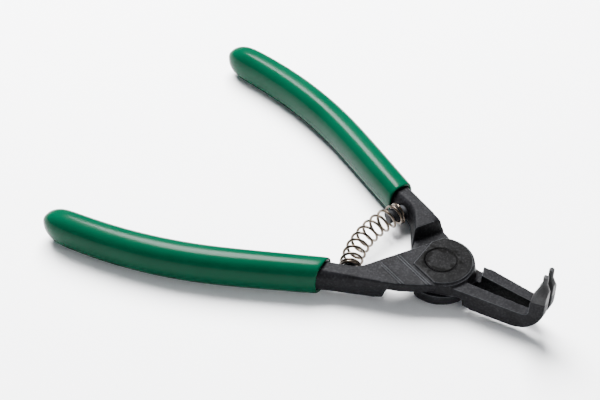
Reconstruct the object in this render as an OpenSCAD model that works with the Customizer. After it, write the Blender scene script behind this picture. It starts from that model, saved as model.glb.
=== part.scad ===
// External circlip pliers with bent tips: two forged arms in a riveted half-lap joint,
// dipped handle grips and a bowed return spring between two pegs.
// The origin is on the pivot axis at the underside of the joint, +X runs to the tips, +Z up the tips.

/* [Joint] */
// Diameter of the ground boss on each face of the joint
boss_d = 21.2; // [19:0.2:23.4]
// Thickness of the joint from boss face to boss face
joint_t = 10.8; // [9.6:0.2:12.6]
// Height of each boss above its arm
boss_rise = 0.7; // [0.3:0.1:1.2]
// Distance from the pivot to the boss flat that faces the handles
boss_back_flat = 7.1; // [6.4:0.1:8.4]
// Distance from the pivot to the boss flat beside the ribs
boss_rib_flat = 8.5; // [7.2:0.1:9]
// Width of the lap's round end beyond the boss, at the running face
lap_flare = 1.5; // [1:0.1:2]
// Slope of the lap's long side, which leans in towards the running face
lap_draft = 15; // [8:1:18]
// Running gap between the two half laps
lap_gap = 0.1; // [0.06:0.02:0.3]
// Gap between a lap's round end and the other arm's jaw
jaw_clear = 2.1; // [0.6:0.1:3]
// Distance from the pivot to the step where the upper arm gets its full thickness
upper_step_dist = 18.2; // [16.4:0.2:20]
// Distance from the pivot to the same step of the lower arm
lower_step_dist = 16.6; // [16.4:0.2:20]
// Slope of the step wall
step_slope = 12; // [2:1:15]
// Diameter of the rivet shank
rivet_d = 8; // [6:0.2:9]
// Diameter of the two flush rivet heads
rivet_head_d = 10.8; // [9.6:0.2:12]
// Running clearance round the rivet in the upper arm
rivet_clear = 0.05; // [0.02:0.01:0.1]

/* [Jaws] */
// Thickness of each jaw
jaw_t = 7.3; // [6:0.1:8.4]
// Distance from the pivot to the flat end face of the tips
jaw_reach = 40; // [36:1:54]
// Width of a jaw where it leaves the joint
jaw_root_w = 5; // [4:0.1:5.6]
// Distance from the tool axis to the inner face of a jaw at its root
jaw_root_in = 3.2; // [2.6:0.1:3.6]
// Width of a jaw where it starts to bend up
jaw_bend_w = 3.7; // [3.2:0.1:4.2]
// Distance from the tool axis to the inner face of a jaw at the bend
jaw_bend_in = 1.4; // [1:0.1:1.8]
// Outer radius of the bend
bend_r = 11; // [8:0.5:14]
// Inner radius of the bend
bend_fillet = 2; // [1:0.2:4]
// Thickness of the upright shank below a tip
shank_t = 5; // [4.4:0.2:6]
// Diameter of the tip pins
tip_d = 1.8; // [1.3:0.1:2.4]
// Length of the tip pins
tip_len = 3.5; // [2.5:0.1:5]
// Height of the tips above the underside of the joint
tip_top = 27.1; // [25:0.5:34]
// Distance between the two tip axes
tip_spacing = 3.94; // [3.4:0.02:5]
// Height over which a tip widens into its shank
neck_len = 9; // [7:0.5:10]

/* [Arms] */
// Angle between a straight handle and the tool axis
handle_angle = 27; // [24:0.5:30]
// Distance from the pivot to the grip rim along the tool axis
rim_x = 31.8; // [30:0.2:38]
// Distance from the tool axis to the middle of an arm at the grip rim
rim_y = 23.9; // [22.5:0.1:26]
// Width of the forged tang
tang_w = 8; // [6.8:0.1:8.6]
// Length of the straight part of a handle
handle_straight = 31; // [20:1:45]
// Length of the curved part of a handle
handle_curved = 63; // [40:1:80]
// Radius of the handle curve
handle_r = 160; // [130:1:240]
// Distance of the outer shoulder from the pivot, where an arm turns in to its lap
shoulder_dist = 18.6; // [18:0.1:19.6]
// Distance from the pivot to the inner edge of the lap
lap_in_dist = 10.2; // [9.4:0.1:11]
// Direction of that inner edge from the tool axis
lap_in_angle = 58; // [54:1:62]
// Draft of the forged sides
draft = 7; // [3:0.5:9]
// Radius of the forged edges
edge_r = 0.45; // [0.2:0.05:0.7]
// Height of the ribs across the upper arm
rib_h = 0.25; // [0.1:0.05:0.4]
// Width of a rib
rib_w = 0.4; // [0.2:0.05:0.6]

/* [Grips] */
// Width of a grip at its rim
grip_rim_w = 10.6; // [9.8:0.1:11.4]
// Height of a grip at its rim
grip_rim_h = 13; // [12:0.1:13.6]
// Width of a grip at the middle of its length
grip_mid_w = 11.2; // [10:0.1:12]
// Height of a grip at the middle of its length
grip_mid_h = 13.5; // [12.4:0.1:14.4]
// Thickness of the grip beyond the end of the tang
grip_end_wall = 8; // [6:0.5:12]
// Distance that the lower grip's rim lies nearer the joint
lower_dip = 2.8; // [0:0.1:3.6]
// Slant of the upper grip's rim
upper_rim_slant = 24; // [0:1:28]
// Slant of the lower grip's rim
lower_rim_slant = 7; // [0:1:28]

/* [Spring] */
// Wire diameter of the return spring
wire_d = 0.95; // [0.7:0.05:1.1]
// Outer diameter of the spring
spring_d = 8; // [7.4:0.1:8.4]
// Number of turns
spring_turns = 12; // [9:1:14]
// Angle of each spring end from the square direction across the tool
spring_lean = 28; // [20:1:34]
// Distance from the pivot to the spring ends along the tool axis
spring_x = 25.4; // [24.6:0.1:26.4]
// Diameter of the pegs that hold the spring
peg_d = 4.8; // [4:0.1:5]
// Length of the upper arm's peg outside the arm
upper_peg_out = 2.6; // [2:0.1:5]
// Length of the lower arm's peg outside the arm
lower_peg_out = 6.2; // [3:0.1:7]
// Gap between the spring ends and the arms
spring_gap = 0.6; // [0.5:0.05:1]
// Depth of a peg in its hole
peg_seat = 3; // [2:0.1:3.4]

/* [Hidden] */
$fn = 64;

fit_gap = 0.02;
grip_gap = 0.15;
steel = [0.16, 0.16, 0.17];
bright_steel = [0.55, 0.5, 0.45];
green_vinyl = [0.02, 0.45, 0.3];

// Heights are measured from the plane where the two laps meet
mid_z = joint_t / 2;
half_t = joint_t / 2 - boss_rise;
lap_r = boss_d / 2 + lap_flare;
jaw_wall_r = lap_r + jaw_clear;

// Directions in the plan of an arm whose handle lies on the -Y side
rib_dir = 249.5;
step_dir = 210;
lap_in_dir = lap_in_angle + 90;
shoulder_dir = 252;

function polar(r, a) = [r * cos(a), r * sin(a)];
function unit(v) = v / norm(v);
function left_of(v) = [-v[1], v[0]];

// Handle centreline, measured outwards from the grip rim
handle_len = handle_straight + handle_curved;
rim_mid = [-rim_x, -rim_y];
out_dir = 180 + handle_angle;
function turn_at(s) = max(0, s - handle_straight) / handle_r * 180 / PI;
function side_dir(a) = [sin(a), -cos(a)];
curve_start = rim_mid + polar(handle_straight, out_dir);
curve_centre = curve_start + handle_r * side_dir(out_dir);
function handle_at(s) = s <= handle_straight
    ? rim_mid + polar(s, out_dir)
    : curve_centre - handle_r * side_dir(out_dir - turn_at(s));
function inward_at(s) = side_dir(out_dir - turn_at(s));

// Half width of the tang at a height, a flattened oval cut off at the arm's faces; nearer the joint
// the sides are plain and lean in from the arm's own face
section_power = 2.6;
tang_flat = 0.5;
tang_h = half_t / pow(1 - pow(tang_flat, section_power), 1 / section_power);
function oval(t) = pow(max(0, 1 - pow(abs(t), section_power)), 1 / section_power);
function tang_inset(z) = tang_w / 2 * (1 - oval(z / tang_h));
face_inset = 0.6;
function edge_inset(z) = face_inset + (abs(z) < half_t ? 0 : edge_r);
function forged_inset(z) = edge_inset(z) + (half_t - z) * tan(draft);
function inset_at(z, share) = share * tang_inset(z) + (1 - share) * forged_inset(z);

// Plan of an arm before its sides are drawn in
tang_stations = [for (i = [0:10]) handle_len * (1 - i / 10)];
shoulder = polar(shoulder_dist, shoulder_dir);
inner_start = handle_at(0) + tang_w / 2 * inward_at(0);
inner_edge = polar(lap_in_dist, lap_in_dir);
inner_along = polar(1, lap_in_angle);
seat_ahead = 3.2;
seat_x = seat_ahead - spring_x;
seat = inner_edge + inner_along * (seat_x - inner_edge[0]) / inner_along[0];
seat_round = 3;
seat_back = seat + seat_round * unit(inner_start - seat);
seat_front = seat + seat_round * inner_along;
function bezier(a, b, c, t) = a * (1 - t) * (1 - t) + b * 2 * t * (1 - t) + c * t * t;

// Where the two sides of an arm cross the step wall at a distance from the pivot
step_normal = polar(1, step_dir);
outer_start = handle_at(0) - tang_w / 2 * inward_at(0);
function crossing(p, along, dist) = p + along * (dist - p * step_normal) / (along * step_normal);
function outer_crossing(dist) = crossing(shoulder, unit(outer_start - shoulder), dist);
function inner_crossing(dist) = crossing(seat_front, inner_along, dist);

// The two sides of that plan, from the handle's end to the step wall
neck_steps = 6;
function outer_side(dist) = concat(
    [for (s = tang_stations) handle_at(s) - tang_w / 2 * inward_at(s)],
    [for (i = [1:neck_steps]) outer_start + (outer_crossing(dist) - outer_start) * i / neck_steps]);
function inner_side(dist) = concat(
    [for (s = tang_stations) handle_at(s) + tang_w / 2 * inward_at(s)],
    [for (i = [1:neck_steps - 1]) bezier(seat_back, seat, seat_front, (i - 1) / (neck_steps - 2))],
    [inner_crossing(dist)]);
oval_shares = concat([for (s = tang_stations) 1], [for (i = [1:neck_steps]) 1 - i / neck_steps]);

// Plan of the lap without its round end: past the shoulder to the jaw, round a core inside the boss
// and back along the inner edge
lap_overlap = 3;
jaw_join_r = lap_r + 0.2;
jaw_join_dir = -69;
inner_run = boss_d / 2 - 6.5;
inner_end = inner_edge + inner_run * inner_along;
core_r = boss_d / 2 - 1.2;
function turn_to_core(r) = acos(core_r / r) + 2;
core_from = jaw_join_dir + turn_to_core(jaw_join_r);
core_to = lap_in_dir - atan(inner_run / lap_in_dist) - turn_to_core(norm(inner_end));
core_steps = 6;
function lap_plan(step) = concat(
    [outer_crossing(step + lap_overlap), shoulder, polar(jaw_join_r, jaw_join_dir)],
    [for (i = [0:core_steps]) polar(core_r, core_from + (core_to - core_from) * i / core_steps)],
    [inner_end, inner_crossing(step + lap_overlap)]);

// A closed plan, or one side of it, drawn in by the draft of its sides
function corner_pull(a, b, c) =
    let (n1 = left_of(unit(b - a)), n2 = left_of(unit(c - b)))
    (n1 + n2) / (1 + n1 * n2);
function drawn_in(plan, inset) =
    let (count = len(plan))
    [for (i = [0:count - 1])
        plan[i] + inset * corner_pull(plan[(i + count - 1) % count], plan[i], plan[(i + 1) % count])];
function side_pull(side, i) =
    let (last = len(side) - 1)
    i == 0 || i == last
        ? left_of(unit(side[min(i + 1, last)] - side[max(i - 1, 0)]))
        : corner_pull(side[i - 1], side[i], side[i + 1]);
function side_drawn_in(side, z, way, wall) =
    let (last = len(side) - 1)
    [for (i = [0:last])
        let (drawn = side[i] + way * inset_at(z, oval_shares[i]) * side_pull(side, i),
             p = i < last ? drawn : crossing(drawn, unit(side[last] - side[last - 1]), wall))
        [p[0], p[1], z]];

// Closed skin over a list of rings that all have the same number of points
module skin(rings) {
    count = len(rings[0]);
    last = len(rings) - 1;
    points = [for (ring = rings) each ring];
    sides = [for (k = [0:last - 1], i = [0:count - 1])
        let (j = (i + 1) % count)
        each [[k * count + i, (k + 1) * count + i, (k + 1) * count + j],
              [k * count + i, (k + 1) * count + j, k * count + j]]];
    first_cap = [[for (i = [0:count - 1]) i]];
    last_cap = [[for (i = [count - 1:-1:0]) last * count + i]];
    polyhedron(points = points, faces = concat(first_cap, sides, last_cap), convexity = 8);
}

seam = 0.02;
layer_shares = [0.5, 0.85, 1];
function at_height(points, z) = [for (p = points) [p[0], p[1], z]];
module tang(step) {
    heights = concat([for (i = [2:-1:0]) -layer_shares[i] * half_t], [0], layer_shares * half_t);
    layers = len(heights);
    function wall_at(z) = step - z * tan(step_slope);
    inner = [for (z = heights) side_drawn_in(inner_side(wall_at(z)), z, -1, wall_at(z))];
    outer = [for (z = heights) side_drawn_in(outer_side(wall_at(z)), z, 1, wall_at(z))];
    skin([for (i = [0:len(oval_shares) - 1])
        concat([for (k = [0:layers - 1]) inner[k][i]], [for (k = [layers - 1:-1:0]) outer[k][i]])]);
}

module lap(step) {
    heights = concat([lap_gap / 2], layer_shares * half_t);
    skin([for (z = heights)
        at_height(drawn_in(lap_plan(step), edge_inset(z) + (half_t - z) * tan(lap_draft) + seam), z)]);
}

// Everything beyond a flat at a distance from the pivot, above a height
module beyond(dist, dir, low) {
    far = 4 * boss_d;
    rotate([0, 0, dir])
        translate([dist, -far / 2, low])
            cube([far, far, far]);
}

// Round end of the lap, flat where the arm's two long edges pass the pivot
round_draft = 9;
front_flat = boss_d / 2 + 0.3;
front_dir = -70;
inner_flat = lap_in_dist - 1.2;
module round_end() {
    difference() {
        translate([0, 0, lap_gap / 2])
            cylinder(r1 = lap_r, r2 = lap_r - half_t * tan(round_draft), h = half_t - lap_gap / 2);
        beyond(front_flat, front_dir, -1);
        beyond(inner_flat, lap_in_dir, -1);
    }
}

// Ground boss with its flats
module boss() {
    difference() {
        translate([0, 0, lap_gap / 2])
            cylinder(d = boss_d, h = mid_z - lap_gap / 2);
        beyond(boss_back_flat, 180, half_t);
        beyond(boss_rib_flat, rib_dir, half_t);
        beyond(inner_flat, lap_in_dir, -1);
    }
}

// Jaw of the -Y arm with its bend, its neck and its tip pin, pointing up
end_land = 1;
inner_land = 0.1;
outer_land = 1.1;
tip_x = jaw_reach - tip_d / 2 - end_land;
tip_y = tip_spacing / 2;
end_in = tip_y - tip_d / 2 - inner_land;
end_out = tip_y + tip_d / 2 + outer_land;
bend_x = jaw_reach - shank_t;
tip_z = tip_top - mid_z;
pin_base = tip_z - tip_len;

function arc(centre, r, from, to, steps) =
    [for (i = [0:steps]) centre + polar(r, from + (to - from) * i / steps)];
module jaw_side() {
    low = -jaw_t / 2;
    outer = [jaw_reach - bend_r, low + bend_r];
    inner = [bend_x - bend_fillet, jaw_t / 2 + bend_fillet];
    polygon(concat([[0, low]], arc(outer, bend_r, -90, 0, 12), [[jaw_reach, tip_z], [bend_x, tip_z]],
                   arc(inner, bend_fillet, 0, -90, 6), [[0, jaw_t / 2]]));
}

module jaw_outline() {
    root_x = boss_d / 4;
    polygon([[root_x, -jaw_root_in - jaw_root_w], [bend_x, -jaw_bend_in - jaw_bend_w],
             [jaw_reach, -end_out], [jaw_reach, -end_in],
             [bend_x, -jaw_bend_in], [root_x, -jaw_root_in]]);
}

module neck_cut() {
    neck_r = norm([tip_x - bend_x, jaw_bend_in + jaw_bend_w - tip_y]);
    outside = 2 * neck_r;
    translate([tip_x, -tip_y, 0])
        rotate_extrude()
            polygon([[tip_d / 2, pin_base], [tip_d / 2, tip_z + 1], [outside, tip_z + 1],
                     [outside, pin_base - neck_len], [neck_r, pin_base - neck_len]]);
}

module jaw() {
    difference() {
        intersection() {
            rotate([90, 0, 0])
                linear_extrude(boss_d)
                    jaw_side();
            translate([0, 0, -jaw_t])
                linear_extrude(2 * jaw_t + tip_z)
                    jaw_outline();
        }
        neck_cut();
    }
}

// Ribs across the face of an arm, in two pairs
rib_places = [9.8, 10.7, 16.8, 17.6];
rib_root = 0.3;
rib_end = 0.15;
module ribs() {
    long = 4 * boss_d;
    intersection() {
        translate([0, 0, half_t - rib_root])
            linear_extrude(rib_root + rib_h)
                polygon(drawn_in(lap_plan(upper_step_dist), edge_inset(half_t) + rib_end));
        for (place = rib_places)
            rotate([0, 0, rib_dir])
                translate([place - rib_w / 2, -long / 2, 0])
                    cube([rib_w, long, joint_t]);
    }
}

// Rivet with a flush countersunk head in each boss
rivet_head_h = (rivet_head_d - rivet_d) / 2;
module rivet_shape(gap) {
    shank = rivet_d / 2 + gap;
    head = rivet_head_d / 2 + gap;
    rotate_extrude()
        polygon([[0, -mid_z], [head, -mid_z], [shank, -mid_z + rivet_head_h],
                 [shank, mid_z - rivet_head_h], [head, mid_z], [0, mid_z]]);
}

// Spring seats: a peg stands square to the spring's end
peg_dir = 90 + spring_lean;
inner_slope = unit(seat_back - inner_start);
peg_foot = inner_start + inner_slope * (-spring_x - inner_start[0]) / inner_slope[0];
module along_peg() {
    translate([peg_foot[0], peg_foot[1], 0])
        rotate([0, 0, peg_dir])
            rotate([0, 90, 0])
                children();
}

module peg(out) {
    tip_chamfer = 0.4;
    along_peg()
        rotate_extrude()
            polygon([[0, -peg_seat], [peg_d / 2, -peg_seat], [peg_d / 2, out - tip_chamfer],
                     [peg_d / 2 - tip_chamfer, out], [0, out]]);
}

module peg_hole() {
    along_peg()
        translate([0, 0, -peg_seat])
            cylinder(d = peg_d + 2 * fit_gap, h = peg_seat + tang_w);
}

module forged_arm(step, rivet_gap) {
    difference() {
        union() {
            tang(step);
            lap(step);
            round_end();
            difference() {
                children();
                translate([0, 0, -jaw_t])
                    cylinder(r = jaw_wall_r, h = jaw_t + lap_gap / 2);
            }
            boss();
        }
        rivet_shape(rivet_gap);
        peg_hole();
    }
}

// Grip: rings of the cavity from its closed end to the rim, then of the outside back to the end
ring_points = 24;
body_rings = 11;
cap_angles = [25, 45, 62, 75, 84];
cap_power = 2.4;
lip = 0.5;
neck_spread = 0.14;
slant_fade = 14;
height_peak = 0.8;
function grip_bulge(t) = sin(180 * t);
function ring_at(s, half_w, half_h, slant, fade) =
    let (mid = handle_at(s), inward = inward_at(s), out = polar(1, out_dir - turn_at(s)))
    [for (i = [0:ring_points - 1])
        let (a = -360 * (i + 0.5) / ring_points,
             side = half_w * sign(cos(a)) * pow(abs(cos(a)), 2 / section_power),
             up = half_h * sign(sin(a)) * pow(abs(sin(a)), 2 / section_power),
             shift = -tan(slant) * side * fade,
             p = mid + inward * side + out * shift)
        [p[0], p[1], up]];

module grip(dip, slant) {
    rim_s = -dip;
    end_s = handle_len + grip_end_wall;
    cap = grip_mid_w;
    span = end_s - rim_s;
    cavity_w = tang_w / 2 + grip_gap;
    cavity_h = tang_h + grip_gap;
    function half_w(t) = (grip_rim_w + (grip_mid_w - grip_rim_w) * grip_bulge(t)) / 2;
    function half_h(t) = (grip_rim_h + (grip_mid_h - grip_rim_h) * grip_bulge(t * height_peak)) / 2;
    function round_off(s) = sqrt(1 - pow(max(0, s - end_s + cap) / cap, cap_power));
    function fade_at(s) = max(0, 1 - (s - rim_s) / slant_fade);
    rim_spread = neck_spread * (dip + tan(slant) * tang_w / 2);
    inner = concat(
        [ring_at(handle_len + grip_gap, cavity_w, cavity_h, slant, 0)],
        [for (s = tang_stations) ring_at(s, cavity_w, cavity_h, slant, fade_at(s))],
        [ring_at(rim_s - grip_gap, cavity_w + rim_spread, cavity_h, slant, 1)]);
    lip_ring = [ring_at(rim_s, half_w(0) - lip / 2, half_h(0) - lip / 2, slant, 1)];
    outer_s = concat([for (i = [0:body_rings]) rim_s + lip + (span - cap - lip) * i / body_rings],
                     [for (a = cap_angles) end_s - cap + cap * sin(a)]);
    outer = [for (s = outer_s)
        let (t = (s - rim_s) / span)
        ring_at(s, half_w(t) * round_off(s), half_h(t) * round_off(s), slant, fade_at(s))];
    skin(concat(inner, lip_ring, outer));
}

// Spring: a helix round an arc that leaves both pegs along their axes
foot_y = -peg_foot[1];
spring_arc_r = foot_y / sin(spring_lean);
arc_x = peg_foot[0] + spring_arc_r * cos(spring_lean);
coil_r = (spring_d - wire_d) / 2;
end_turns = 1.5;
steps_per_turn = 14;
wire_sides = 8;
end_spread = 1.12;
end_pitch = wire_d * end_spread;
arc_len = 2 * spring_arc_r * spring_lean * PI / 180;
end_lift = wire_d / 2 + spring_gap;
open_pitch = (arc_len - 2 * end_turns * end_pitch - 2 * end_lift) / (spring_turns - 2 * end_turns);
function coil_place(n) = end_lift + (n < end_turns
    ? n * end_pitch
    : n > spring_turns - end_turns
        ? arc_len - 2 * end_lift - (spring_turns - n) * end_pitch
        : end_turns * end_pitch + (n - end_turns) * open_pitch);
function coil_point(n) =
    let (a = 180 + spring_lean - coil_place(n) / arc_len * 2 * spring_lean,
         out = [cos(a), sin(a), 0],
         mid = [arc_x, 0, 0] + spring_arc_r * out)
    mid + coil_r * (out * cos(360 * n) + [0, 0, 1] * sin(360 * n));

module coil() {
    total = spring_turns * steps_per_turn;
    skin([for (k = [0:total])
        let (n = k / steps_per_turn,
             d = 0.01,
             ahead = unit(coil_point(n + d) - coil_point(n - d)),
             side = unit(cross(ahead, [0, 0, 1])),
             up = cross(side, ahead))
        [for (i = [0:wire_sides - 1])
            let (a = -360 * i / wire_sides)
            coil_point(n) + wire_d / 2 * (side * cos(a) + up * sin(a))]]);
}

module as_upper() {
    translate([0, 0, mid_z])
        children();
}

module as_lower() {
    translate([0, 0, mid_z])
        rotate([180, 0, 0])
            children();
}

module upper_arm() {
    color(steel)
        as_upper() {
            forged_arm(upper_step_dist, rivet_clear)
                jaw();
            ribs();
        }
}

module lower_arm() {
    color(steel)
        as_lower()
            forged_arm(lower_step_dist, fit_gap)
                mirror([0, 0, 1])
                    jaw();
}

module pivot_rivet() {
    color(steel)
        as_upper()
            rivet_shape(0);
}

module upper_grip() {
    color(green_vinyl)
        as_upper()
            grip(0, upper_rim_slant);
}

module lower_grip() {
    color(green_vinyl)
        as_lower()
            grip(lower_dip, lower_rim_slant);
}

module return_spring() {
    color(bright_steel)
        as_upper()
            coil();
}

module upper_spring_peg() {
    color(steel)
        as_upper()
            peg(upper_peg_out);
}

module lower_spring_peg() {
    color(steel)
        as_lower()
            peg(lower_peg_out);
}

upper_arm();
lower_arm();
pivot_rivet();
upper_grip();
lower_grip();
return_spring();
upper_spring_peg();
lower_spring_peg();
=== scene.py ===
# %% [markdown]
# # Bent-tip circlip pliers
# The tool is two forged arms in a riveted lap joint, each with a dipped vinyl grip, and a bowed coil
# spring that pushes the handles apart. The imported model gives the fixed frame: every piece below sits
# on it, in metres, with the pivot axis at the origin, the tips toward +X and up along +Z.

# %% Load the frame
import math

import bmesh
import bpy
from mathutils import Matrix, Vector


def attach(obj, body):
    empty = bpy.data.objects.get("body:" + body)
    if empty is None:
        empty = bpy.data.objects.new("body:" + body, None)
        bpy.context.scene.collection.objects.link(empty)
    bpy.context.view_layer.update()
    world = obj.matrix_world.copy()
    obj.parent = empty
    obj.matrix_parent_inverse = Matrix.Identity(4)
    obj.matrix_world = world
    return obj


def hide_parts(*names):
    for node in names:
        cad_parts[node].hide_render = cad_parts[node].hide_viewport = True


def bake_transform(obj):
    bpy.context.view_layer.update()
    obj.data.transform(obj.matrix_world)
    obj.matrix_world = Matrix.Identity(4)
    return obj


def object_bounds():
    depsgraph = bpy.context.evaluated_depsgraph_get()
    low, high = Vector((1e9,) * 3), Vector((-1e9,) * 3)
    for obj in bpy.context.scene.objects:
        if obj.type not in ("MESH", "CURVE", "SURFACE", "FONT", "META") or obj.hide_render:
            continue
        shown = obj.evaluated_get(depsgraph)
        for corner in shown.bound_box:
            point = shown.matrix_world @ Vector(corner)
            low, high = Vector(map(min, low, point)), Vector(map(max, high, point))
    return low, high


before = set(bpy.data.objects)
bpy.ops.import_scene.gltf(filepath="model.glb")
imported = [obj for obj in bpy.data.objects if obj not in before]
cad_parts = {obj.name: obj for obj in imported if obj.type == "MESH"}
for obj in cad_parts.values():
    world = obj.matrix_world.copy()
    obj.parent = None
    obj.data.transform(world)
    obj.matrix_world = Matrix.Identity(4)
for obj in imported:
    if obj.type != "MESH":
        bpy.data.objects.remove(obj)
cad_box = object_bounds()
MM = 0.001
print("CAD box in mm:", [[round(c / MM, 1) for c in corner] for corner in cad_box])

# %% [markdown]
# ## Camera
# The photograph was taken from above the right-hand front with a long lens. Its angle and distance were
# solved from the two mirrored handles and the round joint, so the camera is placed by numbers and looks
# straight along the line from its azimuth and elevation.

# %% Camera
CAMERA_AT = Vector((149.47, -307.83, 365.58)) * MM
CAMERA_AZIMUTH = math.radians(33.878)
CAMERA_ELEVATION = math.radians(43.97)
SENSOR_WIDTH = 36
LENS = 87.64

camera_back = Vector((math.sin(CAMERA_AZIMUTH) * math.cos(CAMERA_ELEVATION),
                      -math.cos(CAMERA_AZIMUTH) * math.cos(CAMERA_ELEVATION),
                      math.sin(CAMERA_ELEVATION)))
camera_data = bpy.data.cameras.new("studio_camera")
camera_data.sensor_width = SENSOR_WIDTH
camera_data.lens = LENS
camera = bpy.data.objects.new("studio_camera", camera_data)
camera.location = CAMERA_AT
camera.rotation_euler = (-camera_back).to_track_quat("-Z", "Y").to_euler()
bpy.context.scene.collection.objects.link(camera)
bpy.context.scene.camera = camera
print("camera is", round(CAMERA_AT.length, 3), "m from the pivot")

# %% [markdown]
# ## Floor and light
# The tool lies on a pale sheet, with one large soft box behind it and to the left. The box is made twice at
# the same place, so that its two jobs can be set apart: one lamp is only mirrored and draws the long bright
# line on each grip, and the other only lights and throws the soft shadow to the front. An overhead panel, a
# low panel on the right and a faint blue room fill the shadows a little. The floor is one grid just under
# the grips.

# %% Floor and lights
FLOOR_DROP = 0.05 * MM
FLOOR_SIZE = 6.0
AIM = Vector((-0.05, 0.0, 0.0))
BACK_LEFT = (-0.45, 0.40, 0.78)
OVERHEAD = (-0.1, 0.25, 1.3)
LOW_RIGHT = (0.75, -0.25, 0.35)


def finish_of(name):
    material = bpy.data.materials.new(name)
    material.use_nodes = True
    return material, material.node_tree, material.node_tree.nodes["Principled BSDF"]


def link_mesh(name, bm, *materials):
    mesh = bpy.data.meshes.new(name)
    bm.to_mesh(mesh)
    bm.free()
    for material in materials:
        mesh.materials.append(material)
    piece = bpy.data.objects.new(name, mesh)
    bpy.context.scene.collection.objects.link(piece)
    return piece


def soft_box(name, place, wide, high, watts, lights=True, mirrored=True):
    light = bpy.data.lights.new(name, "AREA")
    light.shape = "RECTANGLE"
    light.size = wide
    light.size_y = high
    light.energy = watts
    lamp = bpy.data.objects.new(name, light)
    lamp.visible_diffuse = lights
    lamp.visible_glossy = mirrored
    lamp.location = place
    lamp.rotation_euler = (AIM - Vector(place)).to_track_quat("-Z", "Y").to_euler()
    bpy.context.scene.collection.objects.link(lamp)


paper, _, paper_shader = finish_of("pale_paper")
paper_shader.inputs["Base Color"].default_value = (0.86, 0.86, 0.87, 1)
paper_shader.inputs["Roughness"].default_value = 0.9
floor_bm = bmesh.new()
bmesh.ops.create_grid(floor_bm, x_segments=1, y_segments=1, size=FLOOR_SIZE / 2)
bmesh.ops.translate(floor_bm, verts=floor_bm.verts, vec=(0, 0, cad_box[0].z - FLOOR_DROP))
floor = link_mesh("floor", floor_bm, paper)

world = bpy.data.worlds.new("pale_room")
bpy.context.scene.world = world
world.use_nodes = True
room = world.node_tree.nodes["Background"]
room.inputs["Color"].default_value = (0.72, 0.86, 1.0, 1)
room.inputs["Strength"].default_value = 0.18
world.cycles_visibility.glossy = False
soft_box("mirrored_box", BACK_LEFT, wide=0.26, high=0.36, watts=36.0, lights=False)
soft_box("lighting_box", BACK_LEFT, wide=0.75, high=0.65, watts=100.0, mirrored=False)
soft_box("top_fill", OVERHEAD, wide=1.6, high=1.6, watts=5.0, mirrored=False)
soft_box("right_fill", LOW_RIGHT, wide=0.6, high=0.5, watts=4.5)
print("floor height in mm:", round((cad_box[0].z - FLOOR_DROP) / MM, 2))

# %% [markdown]
# ## Finish: black forged steel
# The arms are forged, tumbled and blackened, so the surface is a dark satin grey with a fine pebbled
# grain and lighter metal where edges have rubbed. Noise on object coordinates gives the grain at its
# real size, and an attribute measured on the mesh tells the shader where the edges are. The ground faces
# of the joint are smoother, with a dark uneven stain along the seam round the rivet's head, and the tips
# are a little paler.

# %% Black forged steel
HEAD_R = 5.4 * MM
SEAM_SPREAD = 3.0 * MM
SEAM_DARK = (0.0002, 0.0002, 0.0002)


def add_node(tree, kind, **sockets):
    node = tree.nodes.new(kind)
    for name, value in sockets.items():
        node.inputs[name].default_value = value
    return node


def noise(tree, scale, detail=2.0, roughness=0.5):
    place = tree.nodes.get("place") or tree.nodes.new("ShaderNodeTexCoord")
    place.name = "place"
    node = add_node(tree, "ShaderNodeTexNoise", Scale=scale, Detail=detail, Roughness=roughness)
    tree.links.new(place.outputs["Object"], node.inputs["Vector"])
    return node


def ramp(tree, source, low, high, first, second):
    node = tree.nodes.new("ShaderNodeValToRGB")
    node.color_ramp.elements[0].position = low
    node.color_ramp.elements[1].position = high
    node.color_ramp.elements[0].color = (*first, 1)
    node.color_ramp.elements[1].color = (*second, 1)
    tree.links.new(source, node.inputs["Fac"])
    return node


def grey(value):
    return (value, value, value)


def mixed(tree, factor, first, second):
    node = tree.nodes.new("ShaderNodeMixRGB")
    tree.links.new(factor, node.inputs["Fac"])
    tree.links.new(first, node.inputs["Color1"])
    tree.links.new(second, node.inputs["Color2"])
    return node


def bumped(tree, shader, height, strength, depth):
    node = add_node(tree, "ShaderNodeBump", Strength=strength, Distance=depth)
    tree.links.new(height, node.inputs["Height"])
    tree.links.new(node.outputs["Normal"], shader.inputs["Normal"])
    return node


def math_node(tree, operation, first, second):
    node = tree.nodes.new("ShaderNodeMath")
    node.operation = operation
    for socket, value in zip(node.inputs, (first, second)):
        if isinstance(value, (int, float)):
            socket.default_value = value
        else:
            tree.links.new(value, socket)
    return node.outputs["Value"]


def rivet_seam(tree, radius):
    flat = tree.nodes.new("ShaderNodeVectorMath")
    flat.operation = "MULTIPLY"
    flat.inputs[1].default_value = (1, 1, 0)
    tree.links.new(tree.nodes["place"].outputs["Object"], flat.inputs[0])
    reach = tree.nodes.new("ShaderNodeVectorMath")
    reach.operation = "LENGTH"
    tree.links.new(flat.outputs["Vector"], reach.inputs[0])
    past_head = math_node(tree, "SUBTRACT", reach.outputs["Value"], radius)
    off_seam = math_node(tree, "ABSOLUTE", past_head, 0.0)
    blotch = noise(tree, scale=330, detail=3.0, roughness=0.65)
    width = ramp(tree, blotch.outputs["Fac"], 0.47, 0.62, grey(0.22), grey(1.0))
    spread = math_node(tree, "MULTIPLY", width.outputs["Color"], SEAM_SPREAD)
    share = math_node(tree, "DIVIDE", off_seam, spread)
    return ramp(tree, share, 0.55, 1.0, grey(1), grey(0))


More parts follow.
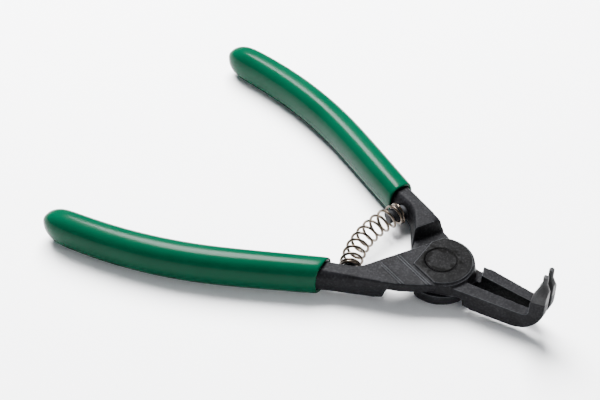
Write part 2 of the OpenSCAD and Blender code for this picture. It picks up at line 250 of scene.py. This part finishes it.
def steel_finish(name, dark, light, worn, rough, sheen, grain_scale, grain_depth, seam_radius=None):
    material, tree, shader = finish_of(name)
    cloud = noise(tree, scale=180, detail=3.0)
    grain = noise(tree, grain_scale, detail=3.0, roughness=0.6)
    base = ramp(tree, cloud.outputs["Fac"], 0.3, 0.7, dark, light)
    bright = ramp(tree, cloud.outputs["Fac"], 0.3, 0.7, [0.8 * c for c in worn], worn)
    fleck = ramp(tree, grain.outputs["Fac"], 0.50, 0.74, grey(0), grey(0.17))
    flecked = mixed(tree, fleck.outputs["Color"], base.outputs["Color"], bright.outputs["Color"])
    edge = tree.nodes.new("ShaderNodeAttribute")
    edge.attribute_name = "worn_edge"
    coat = mixed(tree, edge.outputs["Fac"], flecked.outputs["Color"], bright.outputs["Color"])
    if seam_radius:
        seam = rivet_seam(tree, seam_radius)
        plain = coat
        coat = tree.nodes.new("ShaderNodeMixRGB")
        tree.links.new(seam.outputs["Color"], coat.inputs["Fac"])
        tree.links.new(plain.outputs["Color"], coat.inputs["Color1"])
        coat.inputs["Color2"].default_value = (*SEAM_DARK, 1)
    tree.links.new(coat.outputs["Color"], shader.inputs["Base Color"])
    gloss = ramp(tree, grain.outputs["Fac"], 0.3, 0.75, grey(rough + 0.1), grey(rough - 0.08))
    tree.links.new(gloss.outputs["Color"], shader.inputs["Roughness"])
    shader.inputs["Specular IOR Level"].default_value = sheen
    bumped(tree, shader, grain.outputs["Fac"], strength=0.8, depth=grain_depth)
    return material


forged_steel = steel_finish("forged_black_steel", (0.0032, 0.0032, 0.0037), (0.0060, 0.0060, 0.0069),
                            worn=(0.055, 0.058, 0.062), rough=0.46, sheen=0.036, grain_scale=1300,
                            grain_depth=0.16 * MM)
ground_steel = steel_finish("ground_black_steel", (0.0012, 0.0012, 0.0013), (0.0038, 0.0038, 0.0040),
                            worn=(0.055, 0.056, 0.058), rough=0.42, sheen=0.020, grain_scale=1500,
                            grain_depth=0.02 * MM, seam_radius=HEAD_R)
machined_steel = steel_finish("machined_tip_steel", (0.013, 0.013, 0.0134), (0.023, 0.023, 0.0236),
                              worn=(0.07, 0.071, 0.073), rough=0.36, sheen=0.05, grain_scale=2200,
                              grain_depth=0.03 * MM)
print("steel finishes:", forged_steel.name, ground_steel.name, machined_steel.name)

# %% [markdown]
# ## Forged arms
# Each arm is one forging: tang, half lap with its ground boss, jaw and bent tip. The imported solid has
# the right shape but knife edges. A copy is merged, rebuilt on a fine voxel grid and relaxed, which
# rolls every edge over like a tumbled forging and closes the seams between its parts. Two corners, at
# the jaw's root and at the step beside the joint, are relaxed further on the half away from the boss.

# %% Forged arms
VOXEL = 0.26 * MM
RELAX_ROUNDS = 5
JOINT_T = 10.8 * MM
BOSS_R = 10.6 * MM
BOSS_FACE_DEPTH = 0.25 * MM
CONE_FOOT = 16.0 * MM
JAW_ROOT = Vector((12.06, -7.49)) * MM
STEP_CORNER = Vector((-11.7, -18.0)) * MM
CORNER_REACH = 3.0 * MM
CORNER_ROUNDS = 60
CORNER_GAP = 0.4 * MM
MERGE = 0.0005 * MM
FACING = 0.9


def relax(bm, verts, rounds):
    for _ in range(rounds):
        bmesh.ops.smooth_vert(bm, verts=verts, factor=0.5, use_axis_x=True, use_axis_y=True, use_axis_z=True)


def shade_smooth(bm):
    for face in bm.faces:
        face.smooth = True


def relaxed_copy(node, name, *materials):
    bm = bmesh.new()
    bm.from_mesh(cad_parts[node].data)
    bmesh.ops.remove_doubles(bm, verts=bm.verts, dist=MERGE)
    piece = link_mesh(name, bm, *materials)
    piece.data.remesh_voxel_size = VOXEL
    bpy.context.view_layer.objects.active = piece
    bpy.ops.object.voxel_remesh()
    bm = bmesh.new()
    bm.from_mesh(piece.data)
    relax(bm, bm.verts, RELAX_ROUNDS)
    shade_smooth(bm)
    bm.to_mesh(piece.data)
    bm.free()
    return piece


def mark_worn_edges(piece, start, full):
    bm = bmesh.new()
    bm.from_mesh(piece.data)
    bm.normal_update()
    worn = []
    for vert in bm.verts:
        ways = [(edge.other_vert(vert).co - vert.co).normalized() for edge in vert.link_edges]
        convex = -sum(way.dot(vert.normal) for way in ways) / len(ways)
        worn.append(min(1.0, max(0.0, (convex - start) / (full - start))))
    bm.free()
    layer = piece.data.attributes.new("worn_edge", "FLOAT", "POINT")
    layer.data.foreach_set("value", worn)
    return sum(1 for w in worn if w > 0.5)


def round_corner(piece, spot, up):
    bm = bmesh.new()
    bm.from_mesh(piece.data)
    far_half = [v for v in bm.verts if (JOINT_T / 2 - v.co.z) * up > CORNER_GAP]
    near = [v for v in far_half if (v.co.xy - spot).length < CORNER_REACH]
    relax(bm, near, CORNER_ROUNDS)
    bm.to_mesh(piece.data)
    bm.free()


def finish_machined_faces(piece, height, up):
    for polygon in piece.data.polygons:
        centre = polygon.center
        flat = centre.xy.length < BOSS_R and abs(centre.z - height) < BOSS_FACE_DEPTH
        if flat and polygon.normal.z * up > FACING:
            polygon.material_index = 1
        elif centre.z > CONE_FOOT:
            polygon.material_index = 2


for side, boss_height, up in (("upper", JOINT_T, 1), ("lower", 0.0, -1)):
    arm = relaxed_copy(f"{side}_arm", f"{side}_forging", forged_steel, ground_steel, machined_steel)
    for corner in (JAW_ROOT, STEP_CORNER):
        round_corner(arm, Vector((corner.x, corner.y * up)), up)
    count = mark_worn_edges(arm, start=0.07, full=0.22)
    finish_machined_faces(arm, boss_height, up)
    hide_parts(f"{side}_arm")
    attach(arm, f"{side}_half")
    print(arm.name, "faces:", len(arm.data.polygons), "worn points:", count)

# %% [markdown]
# ## Finish: dipped green vinyl
# The grips are liquid vinyl that the hot handles were dipped in, so they are glossy and a little uneven,
# like thick paint. A faint large noise moves the colour and a very shallow bump bends the reflections.

# %% Dipped vinyl
vinyl, vinyl_tree, vinyl_shader = finish_of("dipped_green_vinyl")
tint = noise(vinyl_tree, scale=60)
vinyl_colour = ramp(vinyl_tree, tint.outputs["Fac"], 0.3, 0.7, (0.0, 0.027, 0.0128), (0.0, 0.032, 0.0155))
vinyl_tree.links.new(vinyl_colour.outputs["Color"], vinyl_shader.inputs["Base Color"])
sag = noise(vinyl_tree, scale=220, detail=1.0)
vinyl_gloss = ramp(vinyl_tree, tint.outputs["Fac"], 0.2, 0.8, grey(0.17), grey(0.23))
vinyl_tree.links.new(vinyl_gloss.outputs["Color"], vinyl_shader.inputs["Roughness"])
vinyl_shader.inputs["Specular IOR Level"].default_value = 0.032
bumped(vinyl_tree, vinyl_shader, sag.outputs["Fac"], strength=0.12, depth=0.15 * MM)
print("vinyl finish:", vinyl.name)

# %% [markdown]
# ## Grips
# A grip is a closed sleeve: it runs from its rounded end to the rim, turns over at the lip and goes back
# inside along the tang. One ring of points is extruded from station to station, each time set to the
# handle's own oval, and a subdivision surface makes it smooth.

# %% Grips
RIM_MID = Vector((-31.8, -23.9))
HANDLE_TURN = math.radians(207)
HANDLE_STRAIGHT = 31.0
HANDLE_CURVED = 63.0
HANDLE_R = 160.0
HANDLE_LEN = HANDLE_STRAIGHT + HANDLE_CURVED
GRIP_END = HANDLE_LEN + 8.0
RIM_HALF = Vector((5.3, 6.5))
MID_HALF = Vector((5.6, 6.75))
CAVITY_HALF = Vector((4.15, 5.19))
OVAL_POWER = 2.6
RING_POINTS = 24
SLANT_FADE = 14.0
CAP_ANGLES = (86, 78, 66, 50, 32, 14)
CAP_POWER = 2.4
BODY_SHARES = (0.97, 0.85, 0.72, 0.58, 0.44, 0.3, 0.18, 0.08, 0.03)
LIP_RINGS = ((0.6, RIM_HALF * 0.995), (0.12, RIM_HALF * 0.965), (0, RIM_HALF * 0.93),
             (0.05, CAVITY_HALF * 1.01))
CAVITY_START = 1.0
CAVITY_STATIONS = (10.0, 25.0, HANDLE_STRAIGHT, 45.0, 60.0, 75.0, HANDLE_LEN, HANDLE_LEN + 0.3)
GRIP_SMOOTHING = 3


def handle_frame(s):
    turned = max(0.0, s - HANDLE_STRAIGHT) / HANDLE_R
    direction = HANDLE_TURN - turned
    out = Vector((math.cos(direction), math.sin(direction)))
    inward = Vector((math.sin(direction), -math.cos(direction)))
    straight_end = RIM_MID + min(s, HANDLE_STRAIGHT) * Vector((math.cos(HANDLE_TURN), math.sin(HANDLE_TURN)))
    if s <= HANDLE_STRAIGHT:
        return straight_end, out, inward
    centre = straight_end + HANDLE_R * Vector((math.sin(HANDLE_TURN), -math.cos(HANDLE_TURN)))
    return centre - HANDLE_R * inward, out, inward


def oval_share(value):
    return math.copysign(abs(value) ** (2 / OVAL_POWER), value)


def set_ring(ring, s, half, slant, fade):
    middle, out, inward = handle_frame(s)
    for i, vert in enumerate(ring):
        angle = 2 * math.pi * i / len(ring)
        side = half[0] * oval_share(math.cos(angle))
        flat = middle + inward * side - out * (math.tan(slant) * side * fade)
        vert.co = Vector((flat.x, flat.y, half[1] * oval_share(math.sin(angle)))) * MM


def next_ring(bm, ring):
    rim_edges = [bm.edges.get((ring[i - 1], ring[i])) for i in range(len(ring))]
    made = bmesh.ops.extrude_edge_only(bm, edges=rim_edges)
    fresh = {v for v in made["geom"] if isinstance(v, bmesh.types.BMVert)}
    return [next(e.other_vert(v) for e in v.link_edges if e.other_vert(v) in fresh) for v in ring]


def grip_half(t):
    wide = RIM_HALF[0] + (MID_HALF[0] - RIM_HALF[0]) * math.sin(math.pi * t)
    high = RIM_HALF[1] + (MID_HALF[1] - RIM_HALF[1]) * math.sin(0.8 * math.pi * t)
    return Vector((wide, high))


def make_grip(dip, slant):
    rim = -dip
    cap = 2 * MID_HALF[0]
    body = GRIP_END - cap - rim
    cap_heights = [math.sin(math.radians(angle)) for angle in CAP_ANGLES]
    stations = [(GRIP_END - cap + cap * height, math.sqrt(1 - height ** CAP_POWER)) for height in cap_heights]
    stations += [(rim + body * share, 1.0) for share in BODY_SHARES]
    bm = bmesh.new()
    ring = bmesh.ops.create_circle(bm, segments=RING_POINTS, radius=MM)["verts"]
    for number, (s, share) in enumerate(stations):
        if number:
            ring = next_ring(bm, ring)
        fade = max(0.0, 1 - (s - rim) / SLANT_FADE)
        set_ring(ring, s, grip_half((s - rim) / (GRIP_END - rim)) * share, slant, fade)
        if number == 0:
            bmesh.ops.contextual_create(bm, geom=ring)
    for past_rim, half in LIP_RINGS:
        ring = next_ring(bm, ring)
        set_ring(ring, rim + past_rim, half, slant, 1.0)
    for s in (rim + CAVITY_START, *CAVITY_STATIONS):
        ring = next_ring(bm, ring)
        set_ring(ring, s, CAVITY_HALF, slant, max(0.0, 1 - (s - rim) / SLANT_FADE))
    bmesh.ops.contextual_create(bm, geom=ring)
    bmesh.ops.recalc_face_normals(bm, faces=bm.faces)
    shade_smooth(bm)
    return bm


def place_upper(bm):
    bmesh.ops.translate(bm, verts=bm.verts, vec=(0, 0, JOINT_T / 2))


def place_lower(bm):
    bmesh.ops.rotate(bm, verts=bm.verts, cent=(0, 0, 0), matrix=Matrix.Rotation(math.pi, 3, "X"))
    place_upper(bm)


for side, dip, slant, place in (("upper", 0.0, 24, place_upper), ("lower", 2.8, 7, place_lower)):
    grip_bm = make_grip(dip, math.radians(slant))
    place(grip_bm)
    grip = link_mesh(f"{side}_dipped_grip", grip_bm, vinyl)
    smooth = grip.modifiers.new("smooth", "SUBSURF")
    smooth.levels = GRIP_SMOOTHING
    smooth.render_levels = GRIP_SMOOTHING
    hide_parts(f"{side}_grip")
    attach(grip, f"{side}_half")
    print(grip.name, "faces before smoothing:", len(grip.data.polygons))

# %% [markdown]
# ## Raised ribs
# Two pairs of thin ribs cross the upper arm beside the joint. The voxel grid is too coarse for them, so
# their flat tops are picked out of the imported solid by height, pulled down into the arm and given round
# edges.

# %% Raised ribs
RIB_TOP = 10.35 * MM
RIB_DEPTH = 0.6 * MM
RIB_ROUND = 0.12 * MM
CLOSE = 0.01 * MM
FLAT_ANGLE = 0.01


def at_rib_top(part):
    return all(abs(vert.co.z - RIB_TOP) < CLOSE for vert in part.verts)


def round_edges(bm, edges, size, segments):
    bmesh.ops.bevel(bm, geom=edges, offset=size, offset_type="OFFSET", affect="EDGES", segments=segments,
                    profile=0.5, material=-1)


rib_bm = bmesh.new()
rib_bm.from_mesh(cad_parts["upper_arm"].data)
bmesh.ops.delete(rib_bm, geom=[face for face in rib_bm.faces if not at_rib_top(face)], context="FACES")
bmesh.ops.remove_doubles(rib_bm, verts=rib_bm.verts, dist=MERGE)
bmesh.ops.dissolve_limit(rib_bm, angle_limit=FLAT_ANGLE, verts=rib_bm.verts, edges=rib_bm.edges)
rib_count = len(rib_bm.faces)
rib_walls = bmesh.ops.extrude_face_region(rib_bm, geom=rib_bm.faces[:])
rib_low = [v for v in rib_walls["geom"] if isinstance(v, bmesh.types.BMVert)]
bmesh.ops.translate(rib_bm, verts=rib_low, vec=(0, 0, -RIB_DEPTH))
bmesh.ops.recalc_face_normals(rib_bm, faces=rib_bm.faces)
round_edges(rib_bm, [edge for edge in rib_bm.edges if at_rib_top(edge)], RIB_ROUND, segments=2)
ribs = link_mesh("upper_arm_ribs", rib_bm, forged_steel)
mark_worn_edges(ribs, start=0.0, full=0.5)
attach(ribs, "upper_half")
print("ribs:", rib_count)

# %% [markdown]
# ## Pivot rivet
# The rivet is headed into countersinks on both bosses and ground flush, so only a thin ring shows where
# it meets the arm. Its outline is spun round the pivot, and the rim of each head is rounded a little so
# that the joint line catches a shadow.

# %% Pivot rivet
RIVET_R = 4.0 * MM
HEAD_H = 1.4 * MM
RIM_ROUND = 0.22 * MM
RIVET_STEPS = 96
SPIN_MERGE = 0.001 * MM

rivet_bm = bmesh.new()
rivet_line = [(0, JOINT_T), (HEAD_R, JOINT_T), (RIVET_R, JOINT_T - HEAD_H),
              (RIVET_R, HEAD_H), (HEAD_R, 0), (0, 0)]
rivet_points = [rivet_bm.verts.new((r, 0, z)) for r, z in rivet_line]
rivet_edges = [rivet_bm.edges.new(pair) for pair in zip(rivet_points, rivet_points[1:])]
bmesh.ops.spin(rivet_bm, geom=rivet_points + rivet_edges, cent=(0, 0, 0), axis=(0, 0, 1), angle=2 * math.pi,
               steps=RIVET_STEPS, use_merge=True)
bmesh.ops.remove_doubles(rivet_bm, verts=rivet_bm.verts, dist=SPIN_MERGE)
bmesh.ops.recalc_face_normals(rivet_bm, faces=rivet_bm.faces)
head_rims = [e for e in rivet_bm.edges if all(abs(v.co.xy.length - HEAD_R) < CLOSE for v in e.verts)]
round_edges(rivet_bm, head_rims, RIM_ROUND, segments=3)
rivet = link_mesh("flush_rivet", rivet_bm, ground_steel)
mark_worn_edges(rivet, start=0.05, full=0.6)
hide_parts("pivot_rivet")
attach(rivet, "lower_half")
print("rivet faces:", len(rivet.data.polygons))

# %% [markdown]
# ## Spring pegs
# A short steel pin is pressed into each arm and holds one end of the spring. Each is a cylinder with a
# rounded end, set square to the spring's end.

# %% Spring pegs
PEG_R = 2.4 * MM
PEG_SEAT = 3.0 * MM
PEG_ROUND = 0.4 * MM
PEG_POINTS = 40
PEG_FOOT = Vector((-25.4, -17.416, 0)) * MM
SPRING_LEAN = math.radians(28)

for side, out, place in (("upper", 2.6 * MM, place_upper), ("lower", 6.2 * MM, place_lower)):
    peg_bm = bmesh.new()
    bmesh.ops.create_cone(peg_bm, cap_ends=True, segments=PEG_POINTS, radius1=PEG_R, radius2=PEG_R,
                          depth=out + PEG_SEAT)
    bmesh.ops.translate(peg_bm, verts=peg_bm.verts, vec=(0, 0, (out - PEG_SEAT) / 2))
    end_rim = [e for e in peg_bm.edges if all(v.co.z > out - CLOSE for v in e.verts)]
    round_edges(peg_bm, end_rim, PEG_ROUND, segments=3)
    bmesh.ops.rotate(peg_bm, verts=peg_bm.verts, cent=(0, 0, 0), matrix=Matrix.Rotation(math.pi / 2, 3, "Y"))
    bmesh.ops.rotate(peg_bm, verts=peg_bm.verts, cent=(0, 0, 0),
                     matrix=Matrix.Rotation(math.pi / 2 + SPRING_LEAN, 3, "Z"))
    bmesh.ops.translate(peg_bm, verts=peg_bm.verts, vec=PEG_FOOT)
    place(peg_bm)
    peg = link_mesh(f"{side}_peg", peg_bm, forged_steel)
    mark_worn_edges(peg, start=0.05, full=0.6)
    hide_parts(f"{side}_spring_peg")
    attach(peg, f"{side}_half")
    print(peg.name, "stands out", round(out / MM, 1), "mm")

# %% [markdown]
# ## Finish: spring steel
# The spring is hard-drawn wire, tempered to a brownish straw colour, with a bright line along each coil.
# A metal shader with a patchy tint between straw and grey gives that.

# %% Spring steel
wire_steel, wire_tree, wire_shader = finish_of("tempered_wire")
temper = noise(wire_tree, scale=300)
wire_tint = ramp(wire_tree, temper.outputs["Fac"], 0.3, 0.7, (0.062, 0.048, 0.037), (0.14, 0.114, 0.091))
wire_tree.links.new(wire_tint.outputs["Color"], wire_shader.inputs["Base Color"])
wire_gloss = ramp(wire_tree, temper.outputs["Fac"], 0.3, 0.7, grey(0.38), grey(0.26))
wire_tree.links.new(wire_gloss.outputs["Color"], wire_shader.inputs["Roughness"])
wire_shader.inputs["Metallic"].default_value = 1.0
drawn = noise(wire_tree, scale=2000)
bumped(wire_tree, wire_shader, drawn.outputs["Fac"], strength=0.15, depth=0.02 * MM)
print("wire finish:", wire_steel.name)

# %% [markdown]
# ## Return spring
# The spring is a compression coil with closed ends, bowed because it leaves each arm square to its side.
# A wire section is spun into a straight helix, with a rise per step, in three stretches: a close end, the
# open middle and the other close end. The straight coil is then laid round the arc between the two pegs.
# It crosses the pivot, so it is attached to neither half of the tool.

# %% Return spring
WIRE_R = 0.475 * MM
COIL_R = 3.525 * MM
WIRE_POINTS = 12
STEPS_PER_TURN = 28
END_TURNS = 1.5
OPEN_TURNS = 9.0
END_PITCH = 1.064 * MM
OPEN_PITCH = 3.435 * MM
END_LIFT = 1.075 * MM
ARC_R = 37.098 * MM
ARC_X = 7.355 * MM
ARC_LEN = 2 * ARC_R * SPRING_LEAN


def wind(bm, geom, turns, pitch):
    steps = round(turns * STEPS_PER_TURN)
    made = bmesh.ops.spin(bm, geom=geom, cent=(0, 0, 0), axis=(0, 0, 1), dvec=(0, 0, pitch / STEPS_PER_TURN),
                          angle=2 * math.pi * turns, steps=steps)
    return made["geom_last"]


def on_arc(point):
    along = END_LIFT + point.z
    angle = math.pi + SPRING_LEAN - along / ARC_R
    out = Vector((math.cos(angle), math.sin(angle), 0))
    return Vector((ARC_X, 0, 0)) + (ARC_R + point.x) * out + Vector((0, 0, point.y))


spring_bm = bmesh.new()
section = bmesh.ops.create_circle(spring_bm, segments=WIRE_POINTS, radius=WIRE_R)["verts"]
bmesh.ops.rotate(spring_bm, verts=section, cent=(0, 0, 0), matrix=Matrix.Rotation(math.pi / 2, 3, "X"))
bmesh.ops.translate(spring_bm, verts=section, vec=(COIL_R, 0, 0))
first_ring = section[:]
wound = section + spring_bm.edges[:]
for turns, pitch in ((END_TURNS, END_PITCH), (OPEN_TURNS, OPEN_PITCH), (END_TURNS, END_PITCH)):
    wound = wind(spring_bm, wound, turns, pitch)
last_ring = [v for v in wound if isinstance(v, bmesh.types.BMVert)]
for vert in spring_bm.verts:
    vert.co = on_arc(vert.co)
for ring in (first_ring, last_ring):
    bmesh.ops.contextual_create(spring_bm, geom=ring)
bmesh.ops.recalc_face_normals(spring_bm, faces=spring_bm.faces)
shade_smooth(spring_bm)
bmesh.ops.translate(spring_bm, verts=spring_bm.verts, vec=(0, 0, JOINT_T / 2))
spring = link_mesh("bowed_spring", spring_bm, wire_steel)
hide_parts("return_spring")
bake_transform(spring)
print("spring faces:", len(spring.data.polygons))
